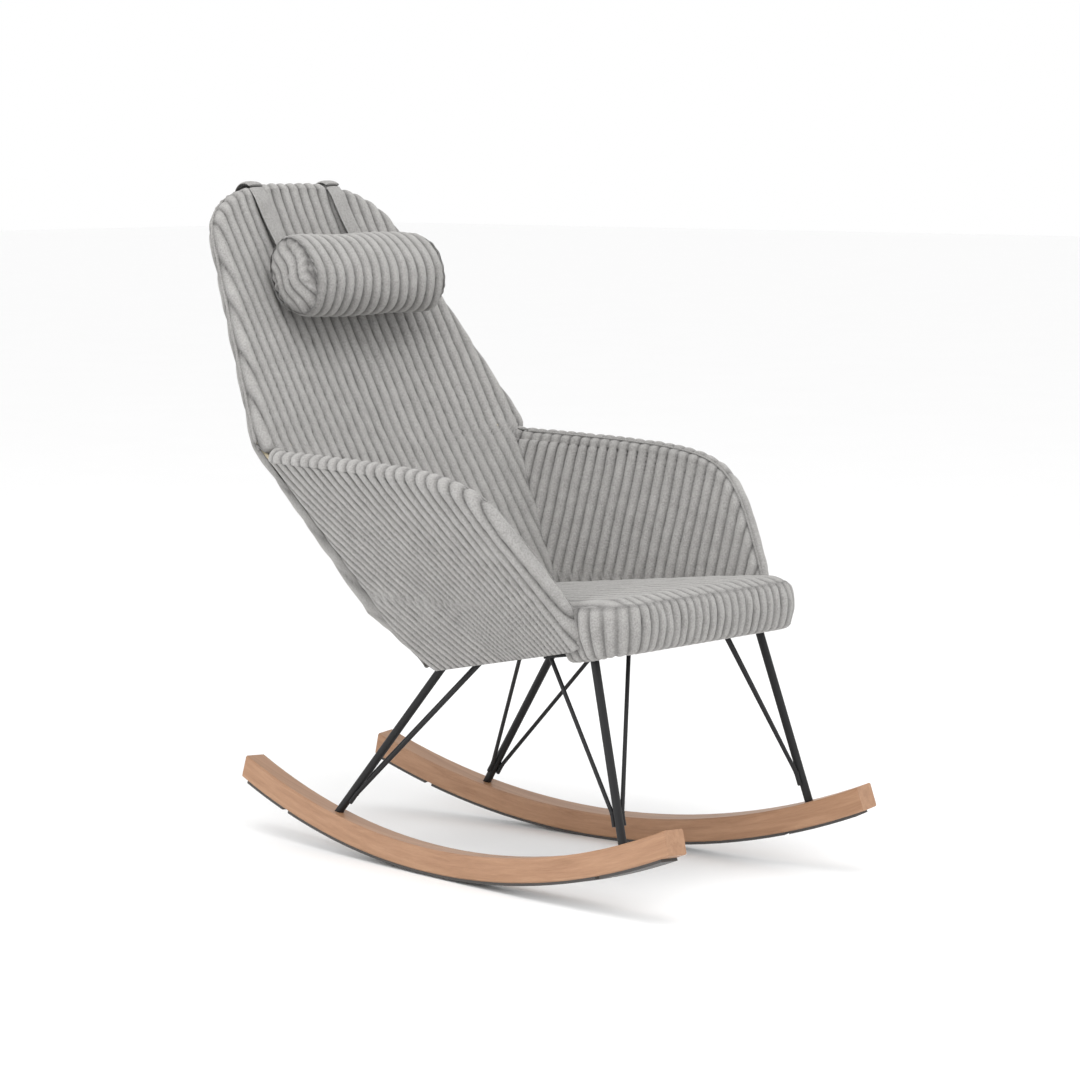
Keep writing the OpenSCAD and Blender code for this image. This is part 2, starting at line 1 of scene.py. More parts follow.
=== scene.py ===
import bpy, bmesh, math
import numpy as np
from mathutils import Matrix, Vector


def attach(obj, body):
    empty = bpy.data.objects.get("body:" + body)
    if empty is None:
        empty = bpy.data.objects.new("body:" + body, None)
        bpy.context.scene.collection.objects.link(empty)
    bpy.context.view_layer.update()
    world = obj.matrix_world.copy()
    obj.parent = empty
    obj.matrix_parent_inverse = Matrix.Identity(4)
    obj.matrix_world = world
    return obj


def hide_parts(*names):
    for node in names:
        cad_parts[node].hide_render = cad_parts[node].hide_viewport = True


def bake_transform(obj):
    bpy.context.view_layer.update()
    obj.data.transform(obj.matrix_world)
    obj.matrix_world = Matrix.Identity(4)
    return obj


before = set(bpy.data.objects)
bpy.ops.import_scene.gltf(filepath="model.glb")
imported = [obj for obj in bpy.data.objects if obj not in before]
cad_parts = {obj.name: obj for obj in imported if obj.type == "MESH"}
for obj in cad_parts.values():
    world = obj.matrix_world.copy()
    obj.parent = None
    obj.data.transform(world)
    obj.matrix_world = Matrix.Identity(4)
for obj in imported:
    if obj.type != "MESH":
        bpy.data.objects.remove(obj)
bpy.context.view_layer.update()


# ---- Studio: a pale floor, soft light and the camera ----
# The chair stands on a plain pale floor under two broad soft lights and a bright even surround.
# The camera stands at the chair's front right, a little above seat height.
contact_y = -0.018

camera_data = bpy.data.cameras.new("camera")
camera_data.lens, camera_data.sensor_width = 111.42, 36.0
camera_data.clip_end = 60
camera = bpy.data.objects.new("camera", camera_data)
bpy.context.scene.collection.objects.link(camera)
aim = Vector((0.0381, contact_y, 0.4576))
turn, rise = math.radians(-48.0), math.radians(6.671)
toward = Vector((math.sin(turn) * math.cos(rise), -math.cos(turn) * math.cos(rise), math.sin(rise)))
camera.location = aim + toward * 4.827
camera.rotation_mode = "QUATERNION"
camera.rotation_quaternion = (-toward).to_track_quat("-Z", "Y")
bpy.context.scene.camera = camera

world = bpy.data.worlds.new("surround")
bpy.context.scene.world = world
world.use_nodes = True
world.node_tree.nodes["Background"].inputs["Color"].default_value = (1.0, 1.0, 1.0, 1)
world.node_tree.nodes["Background"].inputs["Strength"].default_value = 1.0
bpy.context.scene.view_settings.view_transform = "Standard"


def soft_light(name, place, size, power):
    """A square light of the given side, facing a point half way up the chair."""
    data = bpy.data.lights.new(name, "AREA")
    data.shape, data.size, data.energy = "SQUARE", size, power
    lamp = bpy.data.objects.new(name, data)
    lamp.location = place
    lamp.rotation_mode = "QUATERNION"
    lamp.rotation_quaternion = (Vector((0, 0, 0.5)) - Vector(place)).to_track_quat("-Z", "Y")
    bpy.context.scene.collection.objects.link(lamp)


soft_light("overhead", (-0.9, -0.9, 3.1), 2.0, 46)
soft_light("window", (-3.2, 0.6, 2.0), 1.6, 26)
soft_light("fill", (1.6, -3.4, 1.5), 2.0, 8)


class Wire:
    """A value on its way through a finish's nodes: sums, products and powers of it add Math nodes."""

    def __init__(self, finish, socket):
        self.finish, self.socket = finish, socket

    def math(self, operation, *others):
        return self.finish.node("ShaderNodeMath", {"operation": operation}, [self, *others])

    def __add__(self, other):
        return self.math("ADD", other)

    def __sub__(self, other):
        return self.math("SUBTRACT", other)

    def __rsub__(self, other):
        return self.finish.node("ShaderNodeMath", {"operation": "SUBTRACT"}, [other, self])

    def __mul__(self, other):
        return self.math("MULTIPLY", other)

    def __pow__(self, other):
        return self.math("POWER", other)

    __radd__, __rmul__ = __add__, __mul__


class Finish:
    """A material under a plain name, with its shader ready to take wires."""

    def __init__(self, name, **constants):
        self.material = bpy.data.materials.new(name)
        self.material.use_nodes = True
        self.tree = self.material.node_tree
        self.shader = self.tree.nodes["Principled BSDF"]
        for socket, value in constants.items():
            self.shader.inputs[socket.replace("_", " ")].default_value = value

    def node(self, kind, settings=None, sockets=(), out=0):
        """Adds a node: its settings first, then a value or a wire for each socket, by number or by name."""
        made = self.tree.nodes.new(kind)
        for key, value in (settings or {}).items():
            if key == "stops":
                ramp = made.color_ramp
                while len(ramp.elements) < len(value):
                    ramp.elements.new(0.5)
                for element, (place, colour) in zip(ramp.elements, value):
                    element.position, element.color = place, (*colour, 1)
            else:
                setattr(made, key, value)
        pairs = sockets.items() if isinstance(sockets, dict) else enumerate(sockets)
        for key, value in pairs:
            if isinstance(value, Wire):
                self.tree.links.new(value.socket, made.inputs[key])
            else:
                made.inputs[key].default_value = value
        return Wire(self, made.outputs[out])

    def feed(self, socket, wire):
        self.tree.links.new(wire.socket, self.shader.inputs[socket])

    def place(self):
        return self.node("ShaderNodeTexCoord", out="Object")

    def noise(self, vector, scale, detail=4.0, roughness=0.5, distortion=0.0):
        return self.node("ShaderNodeTexNoise", {}, {"Vector": vector, "Scale": scale, "Detail": detail,
                                                    "Roughness": roughness, "Distortion": distortion})

    def blend(self, share, low, high):
        """The colour low where share is 0 and high where it is 1."""
        return self.node("ShaderNodeMix", {"data_type": "RGBA"},
                         {0: share, 6: low if isinstance(low, Wire) else (*low, 1),
                          7: high if isinstance(high, Wire) else (*high, 1)}, out=2)

    def bump(self, height, strength, distance):
        self.feed("Normal", self.node("ShaderNodeBump", {}, {"Strength": strength, "Distance": distance,
                                                             "Height": height}))

    def stretched(self, vector, scale):
        """The place with each of its three parts multiplied by that of scale."""
        return self.node("ShaderNodeMapping", {}, {"Vector": vector, "Scale": scale})


floor_finish = Finish("pale_floor", Roughness=0.9)
floor_grain = floor_finish.noise(floor_finish.place(), 3.0)
floor_finish.feed("Base Color", floor_finish.blend(floor_grain, (0.955, 0.955, 0.955), (0.975, 0.975, 0.975)))
floor_mesh = bpy.data.meshes.new("floor")
floor_mesh.from_pydata([(-30, -30, 0), (30, -30, 0), (30, 30, 0), (-30, 30, 0)], [], [(0, 1, 2, 3)])
floor_mesh.materials.append(floor_finish.material)
floor = bpy.data.objects.new("floor", floor_mesh)
bpy.context.scene.collection.objects.link(floor)


def dress(finish, *nodes):
    """Gives CAD pieces their finish."""
    for name in nodes:
        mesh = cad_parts[name].data
        mesh.materials.clear()
        mesh.materials.append(finish.material)


# ---- Rockers ----
# Two laminated oak runners, bent to one long arc and oiled. The grain follows the bend, and the
# figure is a little darker along the glue lines of the laminations.
arc_centre_z = 1.203
oak = Finish("oiled_oak", Coat_Weight=0.12, Coat_Roughness=0.35)
apart = oak.node("ShaderNodeSeparateXYZ", {}, [oak.place()])
across = Wire(oak, apart.socket.node.outputs[0])
fore = Wire(oak, apart.socket.node.outputs[1]) - contact_y
drop = arc_centre_z - Wire(oak, apart.socket.node.outputs[2])
radius = (fore * fore + drop * drop) ** 0.5
sweep = fore.math("ARCTAN2", drop)
along_grain = oak.node("ShaderNodeCombineXYZ", {}, [sweep * 1.2, across, radius])
figure = oak.noise(oak.stretched(along_grain, (2.2, 60.0, 60.0)), 2.2, 6.0, 0.55, 0.6)
fibre = oak.noise(oak.stretched(along_grain, (14.0, 900.0, 900.0)), 1.0, 3.0, 0.6)
pores = oak.noise(oak.stretched(along_grain, (40.0, 1500.0, 1500.0)), 1.0, 2.0, 0.5)
tone = oak.node("ShaderNodeValToRGB", {"stops": [(0.25, (0.27, 0.135, 0.068)), (0.5, (0.37, 0.200, 0.110)),
                                                (0.75, (0.46, 0.268, 0.157))]}, [figure * 0.7 + fibre * 0.3])
dark_pores = oak.node("ShaderNodeValToRGB", {"stops": [(0.56, (0, 0, 0)), (0.68, (1, 1, 1))]}, [pores])
oak.feed("Base Color", oak.blend(dark_pores * 0.45, tone, (0.33, 0.18, 0.09)))
oak.feed("Roughness", fibre * 0.2 + 0.38)
oak.bump(fibre + pores * 0.5, 0.25, 0.0006)
dress(oak, "rocker_left", "rocker_right")


# ---- Felt strips ----
# Strips of dense dark felt glued under each runner, so that it rolls quietly on a hard floor.
felt = Finish("rocker_felt", Roughness=1.0, Sheen_Weight=0.2)
fuzz = felt.noise(felt.place(), 700.0, 6.0, 0.7)
felt.feed("Base Color", felt.blend(fuzz, (0.028, 0.026, 0.025), (0.10, 0.093, 0.088)))
felt.bump(fuzz, 0.7, 0.0008)
dress(felt, "felt_pads_left", "felt_pads_right")


# ---- Legs ----
# Each leg is a steel bar with two thinner rods that fan out from its foot to a plate under the seat.
# All are welded, then powder coated in a fine matt black.
powder_coat = Finish("black_powder_coat", Metallic=0.0, Specular_IOR_Level=0.28)
pebble = powder_coat.noise(powder_coat.place(), 1400.0, 3.0, 0.6)
smudge = powder_coat.noise(powder_coat.place(), 12.0, 3.0)
powder_coat.feed("Base Color", powder_coat.blend(smudge, (0.010, 0.010, 0.011), (0.018, 0.018, 0.019)))
powder_coat.feed("Roughness", smudge * 0.12 + 0.42)
powder_coat.bump(pebble, 0.35, 0.0003)
ends = ("left", "right")
dress(powder_coat, *[f"leg_{part}_{side}" for side in ends
                     for part in ("bar_front", "bar_rear", "plate_front", "plate_rear")])
dress(powder_coat, *[f"rod_{part}_{side}" for side in ends
                     for part in ("front_inner", "front_back", "rear_inner", "rear_fore")])


# ---- Fasteners ----
# Bolts up through the runners into the leg bars, and screws through the plates and the seat board.
# All are bright zinc plated, with a faint brushed streak.
zinc = Finish("zinc_plate", Metallic=1.0)
streak = zinc.noise(zinc.stretched(zinc.place(), (1.0, 1.0, 6.0)), 300.0)
zinc.feed("Base Color", zinc.blend(streak, (0.50, 0.50, 0.49), (0.68, 0.68, 0.66)))
zinc.feed("Roughness", streak * 0.25 + 0.25)
dress(zinc, "rocker_bolts", "plate_screws", "board_screws")


# ---- Seat base ----
# Plywood blocks and rails under a plywood seat board, closed below by a black non-woven lining.
plywood = Finish("birch_plywood", Roughness=0.65)
veneer = plywood.noise(plywood.stretched(plywood.place(), (3.0, 40.0, 3.0)), 4.0)
plies = plywood.node("ShaderNodeTexWave", {"bands_direction": "Z"},
                     {"Vector": plywood.place(), "Scale": 110.0, "Distortion": 1.0})
plywood.feed("Base Color", plywood.blend(plies * 0.35 + veneer * 0.5, (0.62, 0.47, 0.30), (0.45, 0.31, 0.18)))
dress(plywood, "side_rails", "front_rail", "rear_rail", "corner_blocks", "seat_board")

lining = Finish("black_lining", Roughness=0.95)
speckle = lining.noise(lining.place(), 900.0, 2.0, 0.8)
lining.feed("Base Color", lining.blend(speckle, (0.006, 0.006, 0.006), (0.03, 0.03, 0.03)))
lining.bump(speckle, 0.5, 0.0004)
dress(lining, "dust_cover")


# ---- Inner frame and foam ----
# A steel hoop and two arm wires are moulded into the foam of the back and the arms, and a thick
# foam pad lies on the seat board. None of it shows once the covers are on.
frame_paint = Finish("frame_primer", Roughness=0.5)
chips = frame_paint.noise(frame_paint.place(), 60.0)
frame_paint.feed("Base Color", frame_paint.blend(chips, (0.02, 0.02, 0.02), (0.05, 0.05, 0.05)))
dress(frame_paint, "back_hoop", "arm_wire_left", "arm_wire_right")
foam = Finish("moulded_foam", Roughness=0.95)
cells = foam.noise(foam.place(), 500.0, 4.0, 0.7)
foam.feed("Base Color", foam.blend(cells, (0.72, 0.62, 0.42), (0.86, 0.78, 0.60)))
foam.bump(cells, 0.6, 0.001)
dress(foam, "back_foam", "arm_foam_left", "arm_foam_right", "seat_foam", "pillow_fill")


# ---- Back cover, front panel ----
# Wide-wale corduroy over the foam back. Its ribs run straight up the back and over the rolled rim
# to the seam behind it, and the slanted sides cut across them.
corduroy = Finish("corduroy", Roughness=0.92, Sheen_Weight=0.35, Sheen_Roughness=0.45)
corduroy.shader.inputs["Sheen Tint"].default_value = (0.95, 0.94, 0.92, 1)
# pile is each rib's height, 0 in its valley and 1 on its crest, lowered along seams and puckers. It carries
# painted shade, not a change in the cloth.
pile = corduroy.node("ShaderNodeAttribute", {"attribute_name": "pile"}, out="Fac")
nap = corduroy.noise(corduroy.place(), 420.0, 5.0, 0.65)
brushed = corduroy.noise(corduroy.place(), 34.0, 4.0, 0.6, 0.4)
worn = corduroy.noise(corduroy.place(), 7.0, 3.0)
shade = pile ** 0.85
grain = (nap - 0.5) * 2.4 + (brushed - 0.5) * 0.8 + 0.5
crest_colour = corduroy.blend(grain, (0.225, 0.218, 0.210), (0.475, 0.465, 0.452))
body_colour = corduroy.blend(worn * 0.5, crest_colour, (0.322, 0.314, 0.304))
# Painted shade: the base colour falls to near black where pile is low, which darkens the valleys between the
# ribs and the cloth along the seams.
corduroy.feed("Base Color", corduroy.blend(shade, (0.040, 0.038, 0.036), body_colour))
corduroy.bump(nap + brushed * 0.35, 0.8, 0.0026)

pitch = 0.019
recline = math.radians(32)
seat_rear_y, seat_rear_z = 0.115 + contact_y, 0.369
seat_half_w, junction_half_w, shoulder_half_w = 0.200, 0.262, 0.179
junction_s, shoulder_s, top_rise = 0.276, 0.600, 0.086
rim_r, dish, swell, round_power = 0.014, 0.018, 0.026, 0.74
cloth_t = 0.0023


def wale(phase):
    """Height of a corduroy rib from 0 in its valley to 1 on its crest: the root of a parabola, so the
    ribs are full and round and the valleys between them narrow. One rib is one unit of phase."""
    f = phase - np.floor(phase)
    return np.maximum(1 - (2 * f - 1) ** 2, 0) ** 0.5


def ease(t):
    """Smooth step from 0 to 1."""
    t = np.clip(t, 0, 1)
    return t * t * (3 - 2 * t)


def ripple(p, scale, seed):
    """A gentle irregular wave between about -1 and 1: three crossed sines at each point."""
    x, y, z = p[..., 0] * scale, p[..., 1] * scale, p[..., 2] * scale
    return (np.sin(x * 1.3 + y * 2.1 + z * 1.7 + seed) + np.sin(2.3 * x - 1.1 * y + 2.9 * z + 2 * seed)
            + np.sin(-1.9 * x + 3.1 * y + 1.2 * z + 3 * seed)) / 3


def unit(v):
    return v / np.maximum(np.linalg.norm(v, axis=-1, keepdims=True), 1e-9)


def even(path, step):
    """Shares out a finely sampled path: indices as real numbers, one every step of its length."""
    length = np.concatenate([[0], np.cumsum(np.linalg.norm(np.diff(path, axis=0), axis=1))])
    count = max(2, int(round(length[-1] / step)) + 1)
    return np.interp(np.linspace(0, length[-1], count), length, np.arange(len(path)))


def solid(name, sheets, finish, body, replaced, pile):
    """Closed solid between an outer and an inner grid of points, or several such pairs in one mesh. Each
    pair is joined all round its border, and its faces are turned outwards by the sign of its volume."""
    points, faces, rib_shades, base = [], [], [], 0
    for index, (outer, inner) in enumerate(sheets):
        n, m = outer.shape[:2]
        k = n * m
        grid = np.arange(k).reshape(n, m)
        quads = np.stack([grid[:-1, :-1], grid[:-1, 1:], grid[1:, 1:], grid[1:, :-1]], -1).reshape(-1, 4)
        border = np.concatenate([grid[0, :-1], grid[:-1, -1], grid[-1, :0:-1], grid[:0:-1, 0]])
        after = np.roll(border, -1)
        walls = np.stack([after, border, border + k, after + k], -1)
        both = np.concatenate([quads, quads[:, ::-1] + k, walls])
        p = np.concatenate([outer.reshape(-1, 3), inner.reshape(-1, 3)])
        a, b, c, d = (p[both[:, i]] for i in range(4))
        volume = np.sum(np.cross(b - a, c - a) * a) + np.sum(np.cross(c - a, d - a) * a)
        faces.append((both if volume > 0 else both[:, ::-1]) + base)
        points.append(p)
        rib_shades.append(np.concatenate([pile[index].reshape(-1), np.zeros(k)]))
        base += 2 * k
    points, faces, rib_shades = np.concatenate(points), np.concatenate(faces), np.concatenate(rib_shades)
    mesh = bpy.data.meshes.new(name)
    mesh.vertices.add(len(points))
    mesh.vertices.foreach_set("co", points.astype(np.float32).ravel())
    mesh.loops.add(faces.size)
    mesh.loops.foreach_set("vertex_index", faces.astype(np.int32).ravel())
    mesh.polygons.add(len(faces))
    mesh.polygons.foreach_set("loop_start", np.arange(0, faces.size, 4, dtype=np.int32))
    mesh.polygons.foreach_set("use_smooth", np.ones(len(faces), bool))
    mesh.update(calc_edges=True)
    mesh.attributes.new("pile", "FLOAT", "POINT").data.foreach_set("value", rib_shades.astype(np.float32))
    mesh.materials.append(finish.material)
    piece = bpy.data.objects.new(name, mesh)
    bpy.context.scene.collection.objects.link(piece)
    if body:
        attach(piece, body)
    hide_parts(*replaced)
    return piece


def corded(outer, inner, phase, height=0.0052, calm=1.0, lift=0.0):
    """Raises ribs on a sheet: each point moves off the inner sheet by the rib's height at its phase, taken
    down where calm falls to 0, as it does along a seam. Returns the raised sheet and its pile: the rib
    height, lower along seams, that the corduroy paints as shade in its valleys."""
    out = unit(outer - inner)
    ribs = wale(phase)
    raised = outer + out * (height * (ribs * (0.35 + 0.65 * calm) - 0.38) + lift)[..., None]
    return raised, ribs * (0.55 + 0.45 * calm)


def back_point(x, s, d):
    """A point of the leaning back: x across, s up its slope from seat level, d behind its middle surface."""
    return np.stack([x + 0 * s, seat_rear_y + s * math.sin(recline) + d * math.cos(recline) + 0 * x,
                     seat_rear_z + s * math.cos(recline) - d * math.sin(recline) + 0 * x], -1)


def half_width(s):
    """Half the width of the back: straight from seat level out to the arm junction, then in to the shoulders
    and on at the same slope."""
    narrowing = (junction_half_w - shoulder_half_w) / (shoulder_s - junction_s)
    return np.interp(s, [0, junction_s, shoulder_s, shoulder_s + 0.2],
                     [seat_half_w, junction_half_w, shoulder_half_w, shoulder_half_w - 0.2 * narrowing])


# The outline of the back from seat level to the crest: straight sides and a superellipse top
side_s = np.linspace(0, shoulder_s, 400)
top_a = np.radians(np.concatenate([np.linspace(0, 3, 80)[1:], np.linspace(3, 84, 400)[1:]]))
top_s = shoulder_s + top_rise * np.sin(top_a) ** round_power
outline = np.concatenate([np.stack([half_width(side_s), side_s], -1)[:-1],
                          np.stack([half_width(top_s) * np.cos(top_a) ** round_power, top_s], -1)])
top_from = len(side_s) - 1
picks = np.concatenate([even(outline[:top_from], 0.0056)[:-1],
                        top_from - 1 + even(outline[top_from - 1:], 0.0023)])
rows = np.stack([np.interp(picks, np.arange(len(outline)), outline[:, k]) for k in (0, 1)], -1)
heading = unit(np.gradient(rows, axis=0))
# Smooth the corner at the junction so the rolled rim turns it without a kink
for _ in range(6):
    heading[1:-1] = unit(heading[:-2] + 2 * heading[1:-1] + heading[2:])
outward = np.stack([heading[:, 1], -heading[:, 0]], -1)


def corner_r(s):
    """Radius of the rounded rear corners: large at seat level, down to the rim's own at the arm junction."""
    return np.interp(s, [0, junction_s], [0.050, rim_r])


def back_sheet(side, r, rolls, width=176):
    """One face of the back, side -1 in front and 1 behind, at half thickness r: rows go up the slope, columns
    across and then round the rolled rim by the angles in rolls, and last rows roll over the crest."""
    u = np.concatenate([-np.ones(len(rolls)), np.linspace(-1, 1, width), np.ones(len(rolls))])
    e = np.concatenate([rolls[::-1], np.zeros(width), rolls])
    sx = np.sign(u) * (np.abs(u) > 0.999)

    def face(w, s, out, top_e):
        k = (w / junction_half_w) ** 2 * (1 - u * u) * np.cos(top_e)
        turned = np.maximum(e, top_e)
        more = (corner_r(s) - rim_r) if side > 0 else 0.0
        x = u * (w - more) + (0 if top_e > 0 else 1) * sx * out[0] * (r + more) * np.sin(turned)
        rise = s + out[1] * r * np.sin(turned)
        depth = side * ((r + more) * np.cos(turned) - more) + (dish if side < 0 else swell) * k
        if side < 0:
            tuck = 1 - ease((s - junction_s + 0.030) / 0.020)
            x = x + tuck * (u * (w - rim_r - 0.002 - (rim_r - r)) - x)
            rise = rise + tuck * (s - rise)
            depth = depth + tuck * (-r + dish * k + 0.008 * e / 1.4 - depth)
        return back_point(x, rise, depth)

    sheet = [face(w, s, n, 0.0) for (w, s), n in zip(rows, outward)]
    sheet += [face(rows[-1][0], rows[-1][1], np.array([0.0, 1.0]), t) for t in rolls]
    return np.array(sheet)


front_rolls = np.radians(np.linspace(7, 84, 13))
front_outer, front_inner = back_sheet(-1, rim_r, front_rolls), back_sheet(-1, rim_r - cloth_t, front_rolls)
count, breadth = front_outer.shape[:2]
to_seam = np.minimum(np.minimum(np.arange(breadth), np.arange(breadth)[::-1])[None, :],
                     (count - 1 - np.arange(count))[:, None]) * 0.0019
calm = ease(to_seam / 0.012)
soft = 0.0006 * ripple(front_outer, 55, 0.4)
front_face, front_rib_shade = corded(front_outer, front_inner, front_outer[..., 0] / pitch + 0.5
                                + 0.05 * ripple(front_outer, 16, 1.0), calm=calm, lift=soft)
solid("back_cover_front_panel", [(front_face, front_inner)], corduroy, "chair",
      ["back_cover_front"], [front_rib_shade])


# ---- Back cover, rear panel ----
# The same corduroy over the outside of the back. It carries on below seat level and curls under to
# the seat base, where the lining covers its edge.
rear_rolls = np.radians(np.linspace(8, 84, 13))


def rear_sheet(r):
    """The rear face of the back with its lower part: each column runs from the base edge to seat level
    along a curve set by its two ends and one pull point."""
    upper = back_sheet(1, r, rear_rolls)
    top = upper[0]
    u = np.clip(top[:, 0] / (seat_half_w - 0.036), -1, 1)
    edge = u * u
    less = r - rim_r
    end = np.stack([top[:, 0] * 0.72, 0.066 - 0.018 * edge + contact_y, 0.289 - less + 0 * u], -1)
    knee = np.stack([top[:, 0] * (0.9 - 0.05 * edge), top[:, 1] - 0.022 - 0.028 * edge,
                     0.306 + 0.014 * edge - less], -1)
    v = np.linspace(1, 0, 26)[:-1, None, None]
    return np.concatenate([(1 - v) ** 2 * top + 2 * v * (1 - v) * knee + v * v * end, upper])


rear_outer, rear_inner = rear_sheet(rim_r), rear_sheet(rim_r - cloth_t)
count, breadth = rear_outer.shape[:2]
to_seam = np.minimum(np.minimum(np.arange(breadth), np.arange(breadth)[::-1])[None, :],
                     (count - 1 - np.arange(count))[:, None]) * 0.0019
rear_face, rear_rib_shade = corded(rear_outer, rear_inner, rear_outer[..., 0] / pitch + 0.5
                              + 0.05 * ripple(rear_outer, 16, 2.0), calm=ease(to_seam / 0.012),
                              lift=0.0006 * ripple(rear_outer, 55, 0.9))
solid("back_cover_rear_panel", [(rear_face, rear_inner)], corduroy, "chair", ["back_cover_rear"],
      [rear_rib_shade])


# ---- Rim seam ----
# The two panels of the back meet in a turned seam along the outer edge, slightly puckered by its
# stitches. It starts at the arm junction and runs round over the crest.
cord_sides = 8
up_slope = np.array([0, 0.53, 0.848])


def cord(name, path, r, body):
    """A thin closed cord: a ring of points square to the path at each of its points, at the radius r there,
    with a point on the middle line to close each end."""
    way = unit(np.gradient(path, axis=0))
    a = unit(np.cross(way, up_slope))
    b = np.cross(way, a)
    w = np.linspace(0, 2 * math.pi, cord_sides + 1)[None, :-1, None]
    rings = path[:, None] + r[:, None, None] * (a[:, None] * np.cos(w) + b[:, None] * np.sin(w))
    n = len(path)
    points = np.concatenate([rings.reshape(-1, 3), path[:1], path[-1:]])
    grid = np.arange(n * cord_sides).reshape(n, cord_sides)
    after = np.roll(grid, -1, 1)
    sides = np.stack([grid[:-1], after[:-1], after[1:], grid[1:]], -1).reshape(-1, 4)
    start, end = np.full(cord_sides, n * cord_sides), np.full(cord_sides, n * cord_sides + 1)
    faces = sides.tolist() + np.stack([start, after[0], grid[0]], -1).tolist() + np.stack(
        [end, grid[-1], after[-1]], -1).tolist()
    mesh = bpy.data.meshes.new(name)
    mesh.from_pydata(points.tolist(), [], faces)
    mesh.polygons.foreach_set("use_smooth", [True] * len(mesh.polygons))
    # Seam cords take a fixed pile of 0.75: an even share of the corduroy's painted valley shade.
    pile = mesh.attributes.new("pile", "FLOAT", "POINT")
    pile.data.foreach_set("value", np.full(len(points), 0.75, np.float32))
    mesh.materials.append(corduroy.material)
    piece = bpy.data.objects.new(name, mesh)
    bpy.context.scene.collection.objects.link(piece)
    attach(piece, body)
    return piece


above = rows[:, 1] > junction_s - 0.01
seam_x = rows[above, 0] + outward[above, 0] * rim_r
seam_s = rows[above, 1] + outward[above, 1] * rim_r
half_seam = back_point(seam_x, seam_s, 0.0 * seam_x)
crest_row = np.linspace(half_seam[-1, 0], -half_seam[-1, 0], 22)[1:-1]
crest = np.stack([crest_row, 0 * crest_row + half_seam[-1, 1], 0 * crest_row + half_seam[-1, 2]], -1)
seam_path = np.concatenate([half_seam, crest, (half_seam * [-1, 1, 1])[::-1]])
wobble = 0.0005 * np.sin(np.arange(len(seam_path)) * 0.9)
seam_path = seam_path + np.stack([0 * wobble, wobble, wobble], -1)
cord("back_rim_seam", seam_path, 0.0021 + 0.0004 * np.sin(np.arange(len(seam_path)) * 1.7), "chair")


# ---- Arms and outer sides ----
# Each arm is a foam wing on a steel wire. Its inner cover has upright ribs. The outer cover comes
# over the rolled rim to a seam just inside, and its ribs sweep down and forward to the seat base.
arm_top_s = 0.244
rim_start = np.array([0.213, -0.264 + contact_y, 0.406])
rim_knee = np.array([0.276, -0.160 + contact_y, 0.572])
rim_end = np.array([0.264, 0.222 + contact_y, 0.577])
knee_weight = 3.5
low_rear = np.array([0.168, 0.040 + contact_y, 0.292])
low_front = np.array([0.197, -0.283 + contact_y, 0.350])
side_bulge = 0.009


def rim_line(t):
    """Middle line of the arm's rim: a conic from the seat's front over its knee to the back."""
    t = np.clip(t, 0, 1)[..., None]
    a, b, c = (1 - t) ** 2, 2 * knee_weight * t * (1 - t), t * t
    return (a * rim_start + b * rim_knee + c * rim_end) / (a + b + c)


def side_sheet(q, face, r, rolls, columns=150):
    """One face of the left arm and side, face 1 outside and -1 inside: rows are q, from -1 at the base
    through 0 at seat level to 1 at the arm's top. Columns run forward from the back to the rim, and then
    round it."""
    p = np.linspace(-0.014 if face > 0 else 0, 1, columns)[None, :, None]
    qa, ql = np.clip(q, 0, 1), np.clip(-q, 0, 1)[:, None]
    depth = -0.031 + 0.026 * qa if face > 0 else -0.012 + 0.007 * qa
    back = back_point(half_width(qa * arm_top_s), qa * arm_top_s, depth)
    if face > 0:
        # The lower rear corner is rounded: a curve towards the corner that ends a little in front of it
        corner = low_rear + 0.30 * (back - low_rear)
        back = (1 - ql) ** 2 * back + 2 * ql * (1 - ql) * corner + ql * ql * (low_rear - [0, 0.042, 0])
    else:
        back = back + ql * (low_rear - back)
    front = rim_line(qa ** 2.4)
    front = front + ql * (low_front - front)
    middle = back[:, None] + p * (front - back)[:, None]
    full = np.where(q >= 0, np.sqrt(1 - qa), 1 - 0.5 * q * q)[:, None]
    side = np.array([1.0, 0, 0])
    narrow = 1 if face < 0 else 0.90 + 0.10 * ease(p[..., 0] / 0.03)
    bulge = side_bulge * 4 * p[..., 0] * (1 - p[..., 0]) * full
    flat = middle + side * (face * r * narrow + bulge)[..., None]
    t = qa ** 2.4
    run = unit(rim_line(t + 0.02) - rim_line(t - 0.02))
    out = unit(np.stack([0 * t, -run[:, 2], run[:, 1]], -1))
    w = rolls[None, :, None]
    rolled = front[:, None] + side * face * r * np.cos(w) + r * np.sin(w) * out[:, None]
    sheet = np.concatenate([flat, rolled], 1)
    # Past the top row the sheet rolls over the arm's short top edge, up to the seam beside the back
    spine = np.concatenate([middle[-1], np.repeat(front[-1:], len(rolls), 0)])
    own = np.concatenate([np.zeros(columns), rolls])
    over = [spine + side * face * r * np.cos(np.maximum(own, angle))[:, None]
            + np.array([0, 0, r]) * np.sin(np.maximum(own, angle))[:, None] for angle in rolls[::2]]
    return np.concatenate([sheet, np.array(over)])


fine_q = np.linspace(0, 1, 1500)
q_arm = np.interp(even(rim_line(fine_q ** 2.4), 0.0024), np.arange(1500), fine_q)
q_side = np.concatenate([np.linspace(-1, 0, 38)[:-1], q_arm])
q_inner = np.concatenate([[-0.16, -0.08], q_arm])


